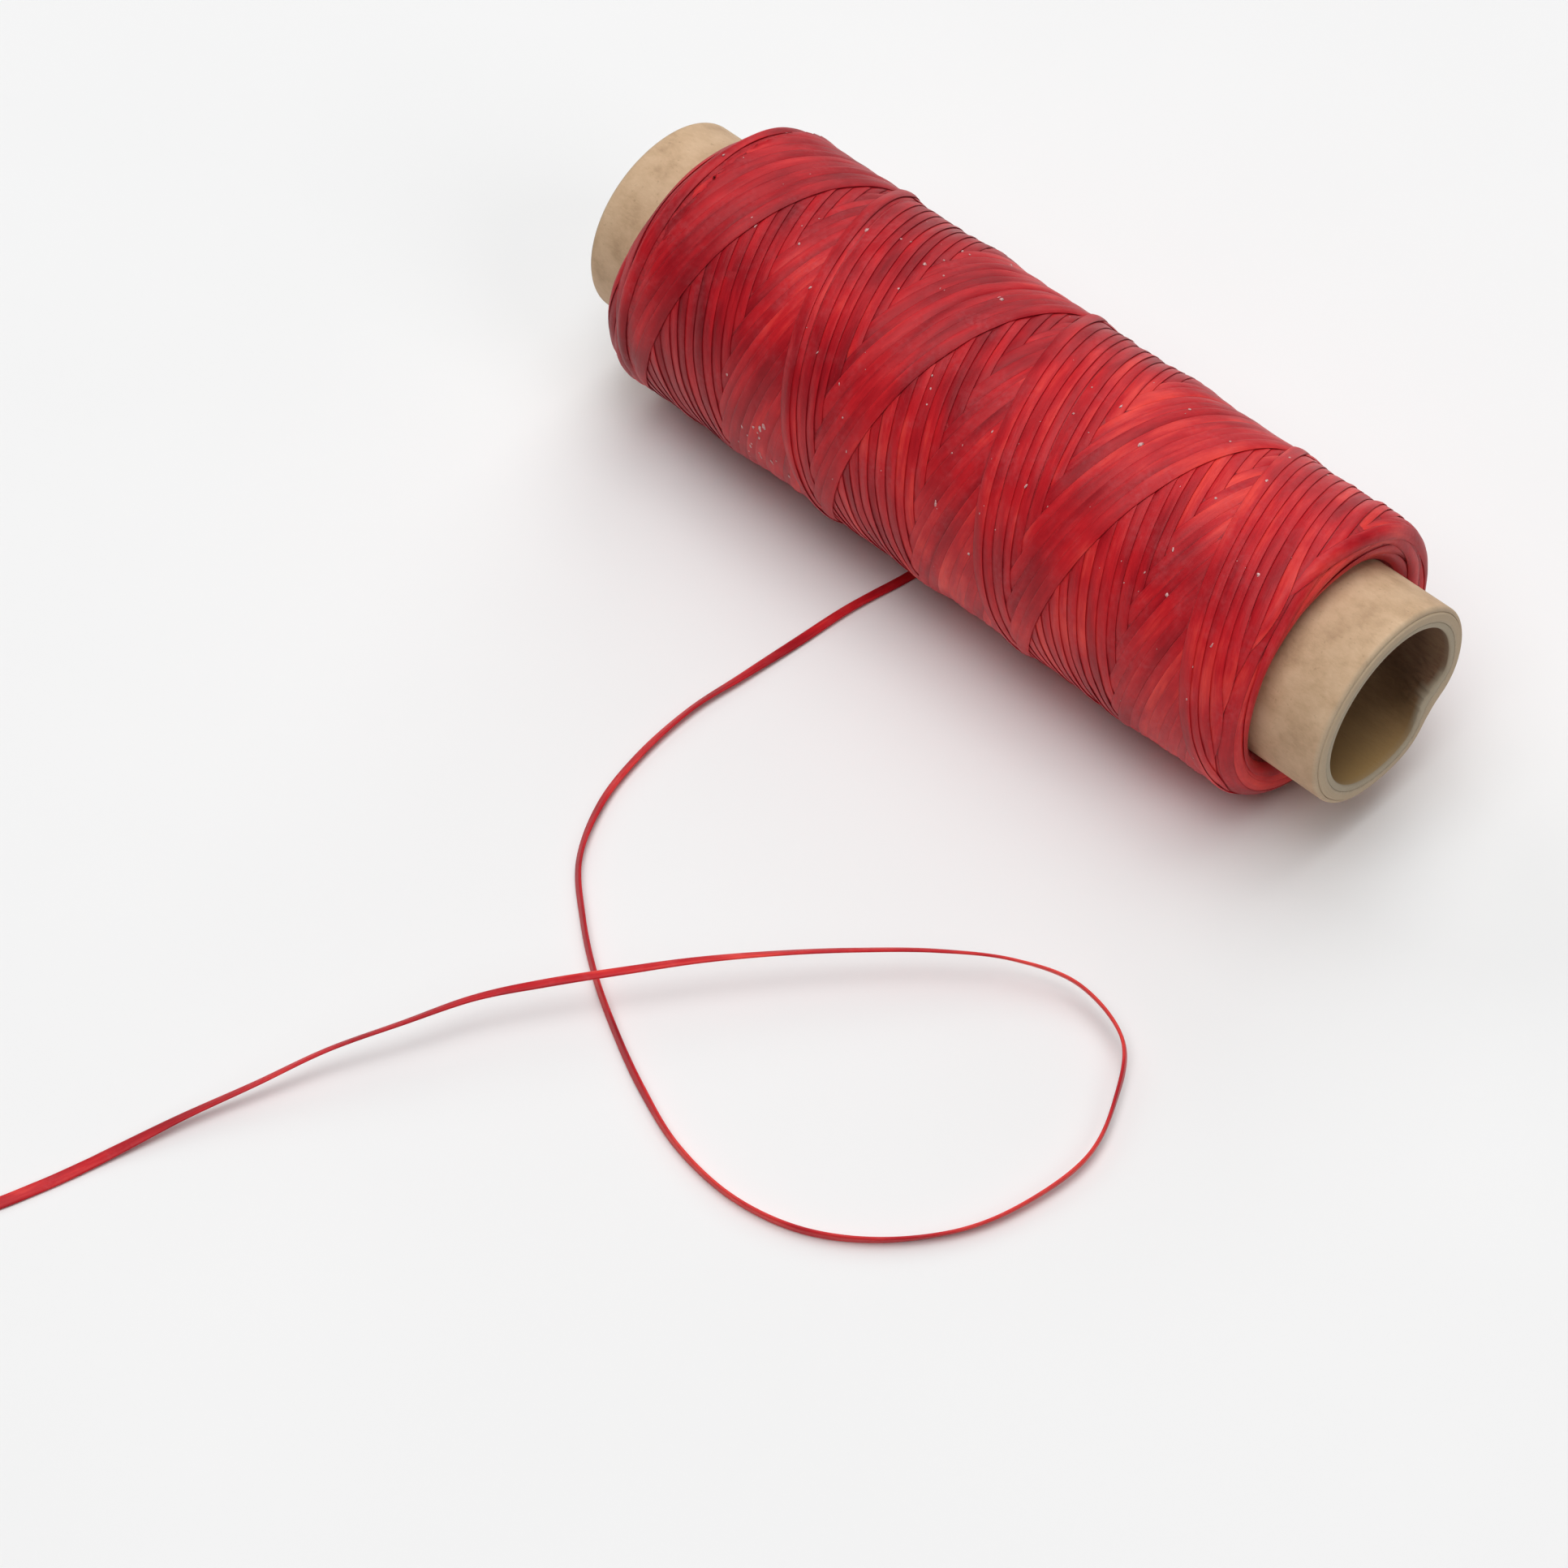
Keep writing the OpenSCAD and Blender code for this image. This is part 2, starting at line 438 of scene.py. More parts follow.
def smooth(values, sigma):
    """Gaussian smoothing along the first axis, with the ends held."""
    values = np.asarray(values, float)
    if values.ndim > 1:
        return np.stack([smooth(column, sigma) for column in values.T], axis=1)
    reach = max(1, int(3 * sigma))
    kernel = np.exp(-0.5 * (np.arange(-reach, reach + 1) / sigma) ** 2)
    kernel /= kernel.sum()
    padded = np.concatenate([np.full(reach, values[0]), values, np.full(reach, values[-1])])
    return np.convolve(padded, kernel, "valid")


def drifting(count, sigma, size):
    """Smooth random values of the given size, drifting over about sigma samples."""
    values = smooth(rng.standard_normal(count), sigma)
    return values / values.std() * size


def ease(share):
    """Share from 0 to 1, made level at both ends."""
    return share * share * (3 - 2 * share)


def catmull_rom(points, per_span):
    """The curve through the points, with per_span steps from each to the next."""
    p = np.asarray(points, float)
    padded = np.concatenate([p[:1], p, p[-1:]])
    curve = []
    for k in range(len(p) - 1):
        a, b, c, d = padded[k : k + 4]
        for t in np.arange(per_span) / per_span:
            curve.append((
                2 * b + (c - a) * t + (2 * a - 5 * b + 4 * c - d) * t ** 2
                + (3 * b - a - 3 * c + d) * t ** 3
            ) / 2)
    return np.array(curve + [p[-1]])


def along_curve(curve):
    """Length run along the curve up to each of its points."""
    steps = np.linalg.norm(np.diff(curve, axis=0), axis=1)
    return np.concatenate([[0], np.cumsum(steps)])


# ---------------------------------------------------------------- free thread

# Centre line of the loose end as (x, y, lift, twist): lift is the height of the
# underside, and twist is how far the flat thread leans over, in degrees.
ROUTE = [
    (-4, -4, 0, 5), (-4.5, -8, 0, 0), (-5.5, -14, 0, -15), (-6, -20, 0, -10),
    (-6.5, -26, 0, -25), (-7, -32, 0, -40), (-6.5, -38.5, 0, -35), (-5, -44.5, 0, -40),
    (-1.9, -50.1, 0, -60), (2.7, -54.2, 0, -70), (7.7, -57.7, 0, -75), (13.2, -60.7, 0, -75),
    (18.7, -63.2, 0, -75), (24.7, -65.2, 0, -90), (31.2, -65.7, 0, -100),
    (37.2, -64.2, 0, -100), (42.2, -60.7, 0, -110), (46.1, -55.6, 0, -120),
    (48.1, -50.1, 0.1, -115), (48.7, -43.7, 0.3, -105), (46.8, -38.3, 0.6, -90),
    (43.3, -33.4, 0.9, -75), (37.4, -32, 1.5, -65), (32, -34.1, 2, -55), (27.1, -38.1, 2.5, -45),
    (22.6, -42.7, 2.8, -40), (18.7, -47.2, 3.1, -35), (14.7, -52.3, 3.4, -25), (11.2, -57.2, 3.5, -15),
    (7.3, -62.7, 3.4, -10), (4.2, -67.6, 3.1, -25), (1.7, -73.1, 2.6, -40), (-1, -78.9, 2, -40),
    (-3.1, -84.8, 1.2, -35), (-5.2, -90.7, 0.6, -25), (-6.9, -96.6, 0.2, -5), (-8.5, -102.5, 0, 10),
    (-10.5, -108, 0, 10), (-14, -114, 0, 10), (-18.5, -119, 0, 10),
]
ROUTE_STEPS = 16
# The mesh starts a little further back than the route, close under the package.
TUCKED_START = (-3.9, -3.0, 0, 5)

# Outline of the flat thread's section: across and up, as shares of half its width and
# half its thickness.
SECTION = [
    (-1.0, 0.0), (-0.93, 0.55), (-0.72, 0.9), (-0.36, 1.0), (0.0, 0.94), (0.36, 1.0),
    (0.72, 0.9), (0.93, 0.55), (1.0, 0.0), (0.93, -0.55), (0.72, -0.9), (0.36, -1.0),
    (0.0, -0.94), (-0.36, -1.0), (-0.72, -0.9), (-0.93, -0.55),
]

# The loose thread's place, and its cut end's, in the strands' range of tones from 0 to 1.
LOOSE_TONE = 0.95
CUT_END_TONE = 0.75

BUNDLES = 9
BUNDLE_STEPS = 5
BUNDLE_SIDES = 6
BUNDLE_RADIUS = 0.062


def make_free_thread(material):
    """The loose end of the thread along its route, with its cut end."""
    line = catmull_rom([TUCKED_START] + ROUTE, ROUTE_STEPS)
    centre = line[:, :3].copy()
    lean = np.radians(line[:, 3])
    rise = np.abs(np.sin(lean)) * THREAD_WIDTH / 2 + np.abs(np.cos(lean)) * THREAD_THICKNESS / 2
    centre[:, 2] = np.maximum(centre[:, 2], 0) + rise
    ahead = np.gradient(centre, axis=0)
    ahead /= np.linalg.norm(ahead, axis=1)[:, None]
    side = np.cross(ahead, (0, 0, 1))
    side /= np.linalg.norm(side, axis=1)[:, None]
    up = np.cross(side, ahead)
    across = side * np.cos(lean)[:, None] + up * np.sin(lean)[:, None]
    above = up * np.cos(lean)[:, None] - side * np.sin(lean)[:, None]
    width = THREAD_WIDTH / 2 * (1 + drifting(len(line), 20, 0.05))
    thick = THREAD_THICKNESS / 2 * (1 + drifting(len(line), 12, 0.06))
    outline = np.array(SECTION)
    rings = (
        centre[:, None]
        + across[:, None] * (outline[:, 0] * width[:, None])[..., None]
        + above[:, None] * (outline[:, 1] * thick[:, None])[..., None]
    )
    run = along_curve(centre)
    count, sides = rings.shape[:2]
    attributes = {
        "along": np.repeat(run, sides),
        "across": np.tile(outline[:, 0], count),
        "strand": np.full(count * sides, LOOSE_TONE),
    }
    piece = make_piece("loose_end", rings.reshape(-1, 3), tube_faces(count, sides), material, attributes)
    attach(piece, "tail")
    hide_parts("free_thread")
    fray = make_cut_end(centre[-1], ahead[-1], across[-1], material)
    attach(fray, "tail")


def make_cut_end(tip, ahead, across, material):
    """The scissored end: a short tuft of filament bundles that splay a little."""
    up = np.array([0, 0, 1])
    points, faces, along, offset = [], [], [], []
    for bundle in range(BUNDLES):
        share = (bundle + 0.5) / BUNDLES * 2 - 1
        reach = 1.3 + 0.7 * rng.random()
        splay = share * 0.35 + 0.12 * rng.standard_normal()
        lift = 0.06 * rng.random()
        for step in range(BUNDLE_STEPS):
            q = step / (BUNDLE_STEPS - 1)
            middle = tip + ahead * (reach * q - 0.25) + across * (share * 0.46 + splay * q * q)
            middle = middle + up * (lift * q)
            size = BUNDLE_RADIUS * (1 - 0.55 * q)
            for side in range(BUNDLE_SIDES):
                turn = 2 * math.pi * side / BUNDLE_SIDES
                spot = middle + across * math.cos(turn) * size + up * (1.6 * size * math.sin(turn))
                spot[2] = max(spot[2], FLOOR_GAP)
                points.append(spot)
                along.append(reach * q)
                offset.append(share)
        first = bundle * BUNDLE_STEPS * BUNDLE_SIDES
        faces.append(tube_faces(BUNDLE_STEPS, BUNDLE_SIDES, first)[:, ::-1])
    attributes = {"along": along, "across": offset, "strand": np.full(len(points), CUT_END_TONE)}
    return make_piece("cut_end", points, np.concatenate(faces), material, attributes)


# ---------------------------------------------------------------- the package's surface

# Outlines of the package's ends, as (distance in from the end, depth below the crown).
# The right end is one rolled lip. The left end is full at the front and below, and
# tapers at the back and the top.
FLAT_HALF = 31.0
RIGHT_END = [(2.2, 0), (1.2, 0.15), (0.35, 0.7), (-0.1, 1.5), (0.0, 2.4), (0.5, 3.3), (1.1, 4.0)]
LEFT_FULL = [(1.8, 0), (0.7, 0.02), (-0.1, 0.4), (-0.4, 1.2), (-0.3, 2.2), (0.3, 3.2), (0.9, 4.0)]
LEFT_TAPERED = [(4.0, 0.05), (2.6, 0.5), (1.4, 1.2), (0.5, 2.0), (0.2, 2.8), (0.4, 3.5), (0.8, 4.0)]
TAPER_MIDDLE = math.radians(60)
# The crown is the mean surface's radius. The highest strands stand about this far above it.
STRAND_RISE = 0.12
CROWN = PACKAGE_RADIUS - STRAND_RISE
# Lengths run along the outline of an end, at which its curve is kept.
END_STEPS = np.arange(0, 8.0, 0.05)


def end_curve(end, outline):
    """(x, r) of one end of the package at even steps along its outline."""
    face = package_high.x if end > 0 else package_low.x
    points = [(end * FLAT_HALF, CROWN), (end * (FLAT_HALF + 1), CROWN)]
    points += [(face - end * inward, CROWN - depth) for inward, depth in outline]
    curve = catmull_rom(points, 12)
    run = along_curve(curve)
    return np.stack([np.interp(END_STEPS, run, curve[:, k]) for k in (0, 1)], axis=1)


RIGHT_CURVE = end_curve(1, RIGHT_END)
FULL_CURVE = end_curve(-1, LEFT_FULL)
TAPERED_CURVE = end_curve(-1, LEFT_TAPERED)


def read_end(curve, run):
    """x, r and their slopes, at lengths run along the outline of an end."""
    tangent = np.gradient(curve, axis=0)
    return [np.interp(run, END_STEPS, column) for column in (*curve.T, *tangent.T)]


def surface(u, theta, height):
    """Points above the package's mean surface. u runs along its outline and is x in the middle."""
    u, theta, height = np.broadcast_arrays(u, theta, height)
    x, r = u.copy(), np.full(u.shape, CROWN)
    slope_x, slope_r = np.ones(u.shape), np.zeros(u.shape)
    right = u > FLAT_HALF
    x[right], r[right], slope_x[right], slope_r[right] = read_end(RIGHT_CURVE, u[right] - FLAT_HALF)
    left = u < -FLAT_HALF
    run = -FLAT_HALF - u[left]
    full, tapered = read_end(FULL_CURVE, run), read_end(TAPERED_CURVE, run)
    taper = (0.5 + 0.5 * np.cos(theta[left] - TAPER_MIDDLE)) ** 1.5
    parts = [a * (1 - taper) + b * taper for a, b in zip(full, tapered)]
    x[left], r[left], slope_x[left], slope_r[left] = parts[0], parts[1], -parts[2], -parts[3]
    length = np.hypot(slope_x, slope_r)
    x = x - slope_r / length * height
    r = r + slope_x / length * height
    return np.stack([x, r * np.cos(theta), AXIS_HEIGHT + r * np.sin(theta)], axis=-1)


# ---------------------------------------------------------------- laying the thread

# The thread crosses the package in strokes of about three turns. A strokes run left to
# right and B strokes run back, both while the angle falls. Each double stroke lands one
# strand further on, so the strands build broad bands that cross in diamonds.
PITCH = 22.6
STEP = 1.02
# Where the newest A and B strokes cross angle 0, along the package.
A_START = 3.15
B_START = -2.31
STROKE_HALF = 33.0
STROKE_POINTS = 400
TURN_POINTS = 60
# Ages count double strokes back from the newest, which is 0.
DOUBLE_STROKES = 36
SHOWN_DOUBLE_STROKES = 23
# Length between samples of the laid thread.
SAMPLE = 0.3
# The last strand slides over to this x as it goes down to the floor.
EXIT_X = -4.0
SLIDE_LENGTH = 24

# The thread's turns at the ends, as (least turns, least reach past the stroke, spread of
# the reach). On the right, the newest strokes turn back at once, and those older than
# LIP_AGE ran a turn along the lip. Golden-ratio steps spread the turns over the reach.
LEFT_TURN = (0.4, 0.8, 4.2)
RIGHT_TURN = (0.03, 0.9, 0.9)
LIP_TURN = (1.03, 1.0, 4.4)
LIP_AGE = 6
GOLDEN = 0.618

# The relief is the wound surface's height over the mean surface, on a grid of u and v.
# v is length round the package.
GRID = 0.12
U_REACH = 39.0
GIRTH = 2 * math.pi * CROWN
COLUMNS = int(round(2 * U_REACH / GRID))
ROWS = int(round(GIRTH / GRID))
COLUMN_U = np.linspace(-U_REACH, U_REACH, COLUMNS)
relief = np.zeros((COLUMNS, ROWS))

# Places across the thread, from -1 to 1, at which the height of its underside is kept.
SPOTS = np.linspace(-1, 1, 7)
PRESSED_SPOTS = np.linspace(-1, 1, 13)
PRESSES_PER_SAMPLE = 3

# How the flat thread lies on what is under it: its steepest lean, how far it may sag and
# bend up, and how much of that it does; the shares of the highest place under its width
# that hold it up; and the share and reach, in samples, of the ridges before and after.
MOST_TILT = 0.32
MOST_SAG = -0.2
MOST_BEND = 0.12
GIVE = 0.65
HELD_UP = 0.45
LEAST_HELD_UP = 0.25
RIDGE_SHARE = 0.55
RIDGE_REACH = 4


def grid_place(u, v):
    """Column and row of the relief, with fractions."""
    return (u + U_REACH) / (2 * U_REACH) * (COLUMNS - 1), (v / GIRTH * ROWS) % ROWS


def read_relief(field, u, v):
    """Height of a relief, between its grid points."""
    i, j = grid_place(u, v)
    i = np.clip(i, 0, COLUMNS - 1.001)
    i0, j0 = i.astype(int), np.floor(j).astype(int) % ROWS
    fi, fj = i - i0, j - np.floor(j)
    j1 = (j0 + 1) % ROWS
    low = field[i0, j0] * (1 - fj) + field[i0, j1] * fj
    high = field[i0 + 1, j0] * (1 - fj) + field[i0 + 1, j1] * fj
    return low * (1 - fi) + high * fi


def beside(u, v, across_u, across_v, reach):
    """u and v at each reach to the side of each sample of the thread."""
    return u[:, None] + reach * across_u[:, None], v[:, None] + reach * across_v[:, None]


def between_spots(heights, spots):
    """Heights known at SPOTS, read at other spots across the thread."""
    k = (spots + 1) / 2 * (len(SPOTS) - 1)
    k0 = np.minimum(k.astype(int), len(SPOTS) - 2)
    return heights[:, k0] * (1 - (k - k0)) + heights[:, k0 + 1] * (k - k0)


def crown_of(spot):
    """Thickness of the flat thread across its width, as a share of the whole."""
    return 1 - 0.6 * np.abs(spot) ** 2.2


def stroke(age, family):
    """(u, angle in degrees) along one stroke, with the angle falling. Family is 1 for A, -1 for B."""
    shift = age * STEP
    u = np.linspace(-STROKE_HALF, STROKE_HALF, STROKE_POINTS) * family
    if family > 0:
        angle = (A_START - shift - u) * 360 / PITCH
    else:
        angle = (u - B_START - shift) * 360 / PITCH
    return u, angle


def turn_at(end, age):
    """(least turns, reach past the stroke) of the thread's turn at an end of the package."""
    if end < 0:
        least, near, spread = LEFT_TURN
    elif age > LIP_AGE:
        least, near, spread = LIP_TURN
    else:
        least, near, spread = RIGHT_TURN
    return least, near + spread * (age * GOLDEN % 1)


def turn_back(end, start_angle, end_angle, reach):
    """(u, angle) of the turn at an end of the package, between two strokes."""
    turns = (start_angle - end_angle) / 360
    power = max(2.0, PITCH * turns / (2 * reach))
    q = np.linspace(0, 1, TURN_POINTS)[1:-1]
    u = end * (STROKE_HALF + reach * (1 - np.abs(2 * q - 1) ** power))
    return u, start_angle - q * 360 * turns


def thread_path():
    """The laid thread as (u, v, age, family), evenly sampled, with v unwrapped."""
    parts = []
    reached = None
    for age in range(DOUBLE_STROKES - 1, -1, -1):
        for family in (1, -1):
            u, angle = stroke(age, family)
            if reached is not None:
                least, reach = turn_at(-family, age)
                angle = angle + (reached - least * 360 - angle[0]) // 360 * 360
                parts.append((*turn_back(-family, reached, angle[0], reach), age, family))
            reached = angle[-1]
            parts.append((u, angle, age, family))
    us, angles, ages, families = zip(*parts)
    counts = [len(part) for part in us]
    u, v = np.concatenate(us), np.radians(np.concatenate(angles)) * CROWN
    age, family = np.repeat(ages, counts), np.repeat(families, counts)
    run = along_curve(np.stack([u, v], axis=1))
    even = np.arange(0, run[-1], SAMPLE)
    nearest = np.searchsorted(run, even).clip(0, len(run) - 1)
    u, v = np.interp(even, run, u), np.interp(even, run, v)
    age, family = age[nearest], family[nearest]
    # Tension rounds the corners between strokes and turns, and the guide is not exact.
    u = smooth(u, 2.2 / SAMPLE)
    u = u + drifting(len(u), 14 / SAMPLE, 0.07) + drifting(len(u), 60 / SAMPLE, 0.07)
    # The last strand stops at the floor, nearest to where it leaves for the loose end.
    last = np.flatnonzero((age == 0) & (family < 0) & (u < EXIT_X - 1.5))
    floor_angle = np.degrees(v / CROWN) % 360
    stop = last[np.argmin(np.abs(floor_angle[last] - 270))] + 1
    u, v, age, family = u[:stop], v[:stop], age[:stop], family[:stop]
    slide = np.clip(1 - (np.arange(len(u))[::-1] * SAMPLE) / SLIDE_LENGTH, 0, 1)
    u = u + (EXIT_X - u[-1]) * ease(slide)
    return u, v, age, family


def settle(u, v, width, field, start):
    """Lays the thread under tension: its underside's height at SPOTS, and its sideways direction."""
    du, dv = np.gradient(u), np.gradient(v)
    size = np.hypot(du, dv)
    across_u, across_v = -dv / size, du / size
    reach = SPOTS[None, :] * width[:, None] / 2
    ground = read_relief(field, *beside(u, v, across_u, across_v, reach))
    mean = ground.mean(axis=1)
    tilt = (ground * reach).sum(axis=1) / (reach ** 2).sum(axis=1)
    tilt = np.clip(smooth(tilt, 1.3 / SAMPLE), -MOST_TILT, MOST_TILT)
    excess = (ground - mean[:, None] - tilt[:, None] * reach).max(axis=1)
    held = mean + HELD_UP * excess
    padded = np.pad(held, RIDGE_REACH, mode="edge")
    ridge = np.lib.stride_tricks.sliding_window_view(padded, 2 * RIDGE_REACH + 1).max(axis=1)
    taut = smooth(RIDGE_SHARE * ridge + (1 - RIDGE_SHARE) * held, 1.5 / SAMPLE)
    middle = smooth(np.maximum(taut, mean + LEAST_HELD_UP * excess), 0.5 / SAMPLE)
    if start is not None:
        middle = middle + (start - middle[0]) * np.exp(-np.arange(len(middle)) * SAMPLE / 2.5)
    plane = middle[:, None] + tilt[:, None] * reach
    give = np.clip(smooth(ground, 0.8 / SAMPLE) - plane, MOST_SAG, MOST_BEND)
    return plane + GIVE * give, across_u, across_v


def press(field, u, v, across_u, across_v, width, thick, under):
    """Raises the field to the laid thread's top."""
    index = np.arange(len(u))
    at = np.arange(0, len(u) - 1 + 1e-9, 1 / PRESSES_PER_SAMPLE)

    def finer(values):
        return np.interp(at, index, values)

    u, v, across_u, across_v = finer(u), finer(v), finer(across_u), finer(across_v)
    width, thick = finer(width), finer(thick)
    under = np.stack([finer(column) for column in under.T], axis=1)
    top = between_spots(under, PRESSED_SPOTS) + thick[:, None] * crown_of(PRESSED_SPOTS)
    reach = PRESSED_SPOTS[None, :] * width[:, None] / 2
    i, j = grid_place(*beside(u, v, across_u, across_v, reach))
    i = np.clip(np.rint(i).astype(int), 0, COLUMNS - 1)
    j = np.rint(j).astype(int) % ROWS
    np.maximum.at(field, (i, j), top)


def pack_ends(field):
    """How far each column packs down where the thread piles up over the middle's level."""
    columns = field.mean(axis=1)
    middle = columns[np.abs(COLUMN_U) < FLAT_HALF - 3].mean()
    return smooth(np.maximum(columns - middle, 0), 0.8 / GRID) * (np.abs(COLUMN_U) > FLAT_HALF - 3)


def wind():
    """Lays the whole thread on the relief, stroke by stroke.

    Returns the laid thread, as its path, age, family, width, thickness, underside and
    sideways direction, and the relief of the older layers, under the shown strands.
    """
    u, v, age, family = thread_path()
    width = WOUND_WIDTH * (1 + np.clip(drifting(len(u), 9 / SAMPLE, 0.045), -0.1, 0.1))
    thick = WOUND_THICKNESS * WOUND_WIDTH / width
    under = np.zeros((len(u), len(SPOTS)))
    across_u, across_v = np.zeros(len(u)), np.zeros(len(u))
    older = None
    start = None
    sunk = np.zeros(COLUMNS)
    sunk_when = []
    edges = np.flatnonzero(np.diff(age * 2 + (family > 0))) + 1
    bounds = [0, *edges, len(u)]
    for low, high in zip(bounds[:-1], bounds[1:]):
        if older is None and age[low] < SHOWN_DOUBLE_STROKES:
            older, older_sunk = relief.copy(), sunk.copy()
        part = slice(low, high)
        laid = settle(u[part], v[part], width[part], relief, start)
        under[part], across_u[part], across_v[part] = laid
        sideways = across_u[part], across_v[part]
        press(relief, u[part], v[part], *sideways, width[part], thick[part], under[part])
        sunk_when.append((part, sunk.copy()))
        packed = pack_ends(relief)
        relief[:] -= packed[:, None]
        sunk += packed
        start = under[high - 1].mean() - np.interp(u[high - 1], COLUMN_U, packed)
    # What was laid before the ends packed down goes down with them.
    for part, then in sunk_when:
        under[part] -= np.interp(u[part], COLUMN_U, sunk - then)[:, None]
    older -= (sunk - older_sunk)[:, None]
    return (u, v, age, family, width, thick, under, across_u, across_v), older


# ---------------------------------------------------------------- strands as meshes

# A strand's rings of points are this many samples apart.
RING = 2
# Both ends of each run of strand dip this far, under the strands about them.
END_SUNK = 0.35
# A piece is full when it holds one of this many equal shares of what is seen.
SEEN_SHARES = 28
# Points of a ring across its top and then back under it, and their height as a share of
# the strand's thickness.
TOP_SPOTS = np.array([-1.0, -0.92, -0.5, 0.0, 0.5, 0.92, 1.0])
UNDER_SPOTS = np.array([0.7, 0.0, -0.7])
RING_SPOTS = np.concatenate([TOP_SPOTS, UNDER_SPOTS])
RING_LIFT = np.concatenate([crown_of(TOP_SPOTS), [0.06, 0.0, 0.06]])
# A strand is seen where its top is less than this under the final surface.
SEEN_DEPTH = 0.05
# The dye's pattern starts again after this length, where the noise would lose precision.
LONGEST_ALONG = 5000


def seen_runs(seen, reach, join):
    """(first, last) of each run of seen samples, widened by reach and joined over short gaps."""
    wide = np.convolve(seen.astype(float), np.ones(2 * reach + 1), "same") > 0.5
    edges = np.flatnonzero(np.diff(np.concatenate([[0], wide.astype(int), [0]])))
    joined = []
    for low, high in edges.reshape(-1, 2).tolist():
        if joined and low - joined[-1][1] < join:
            joined[-1][1] = high
        else:
            joined.append([low, high])
    return joined


def shared_out(runs):
    """The runs in batches, one for each piece."""
    whole = sum(high - low for low, high in runs)
    batches, held = [[]], 0
    for low, high in runs:
        if held >= whole / SEEN_SHARES:
            batches.append([])
            held = 0
        batches[-1].append((low, high))
        held += high - low
    return batches


def level(u, column_mean):
    """Mean height of the final relief along the package."""
    return np.interp(u, COLUMN_U, column_mean)


def make_strands(material, laid, column_mean):
    """Closed tubes for every seen run of the shown strands, from the last laid to the first."""
    u, v, age, family, width, thick, under, across_u, across_v = laid
    reach = SPOTS[None, :] * width[:, None] / 2
    tops = under + thick[:, None] * crown_of(SPOTS)[None, :]
    final = read_relief(relief, *beside(u, v, across_u, across_v, reach))
    seen = (tops > final - SEEN_DEPTH).any(axis=1) & (age < SHOWN_DOUBLE_STROKES)
    runs = [run for run in seen_runs(seen, 5, 10) if run[1] - run[0] > 6]
    tone_of = rng.random(2 * DOUBLE_STROKES + 2)
    tone = tone_of[age * 2 + (family > 0)]
    made = []
    for number, batch in enumerate(shared_out(runs[::-1]), 1):
        points, faces, along, across, strand = [], [], [], [], []
        first = 0
        for low, high in batch:
            pick = np.arange(low, high, RING)
            reach = RING_SPOTS[None, :] * width[pick, None] / 2
            uu, vv = beside(u[pick], v[pick], across_u[pick], across_v[pick], reach)
            near_ends = [0, 2, len(pick) - 3, len(pick) - 1]
            sunk = np.interp(np.arange(len(pick)), near_ends, [END_SUNK, 0, 0, END_SUNK])
            height = between_spots(under[pick], RING_SPOTS) + thick[pick, None] * RING_LIFT[None, :]
            height = height - level(uu, column_mean) - sunk[:, None]
            place = surface(uu, vv / CROWN, height)
            place[..., 2] = np.maximum(place[..., 2], FLOOR_GAP)
            points.append(place.reshape(-1, 3))
            count, sides = place.shape[:2]
            faces.append(tube_faces(count, sides, first))
            first += count * sides
            along.append(np.repeat(pick * SAMPLE, sides))
            across.append(np.tile(RING_SPOTS, count))
            strand.append(np.full(count * sides, tone[low]))
        attributes = {
            "along": np.concatenate(along) % LONGEST_ALONG,
            "across": np.concatenate(across),
            "strand": np.concatenate(strand),
        }
        name = f"strands_{number:02d}"
        made.append(make_piece(name, np.concatenate(points), np.concatenate(faces), material, attributes))
    return made


# The ring of older layers lies this far under their relief, or where that is too deep,
# CORE_DEPTH under the outer strands.
CORE_GAP = 0.06
CORE_DEPTH = 0.13
CORE_HALF = 38.8
CORE_RINGS = 240
CORE_SIDES = 200
# Wax and lint fill gaps between strands up to about twice this many grid steps wide.
FILLED_GAP = 3


def filled(field):
    """The field with its narrow gaps filled: the highest value nearby, then the lowest of those."""
    steps = range(-FILLED_GAP, FILLED_GAP + 1)
    for pick in (np.maximum, np.minimum):
        for axis in (0, 1):
            field = pick.reduce([np.roll(field, k, axis) for k in steps])
    return field


def lowest(field, u, v):
    """The lowest of a relief's heights close about a place."""
    nearby = [(a, b) for a in (-0.2, 0, 0.2) for b in (-0.25, 0, 0.25)]
    return np.min([read_relief(field, u + a, v + b) for a, b in nearby], axis=0)


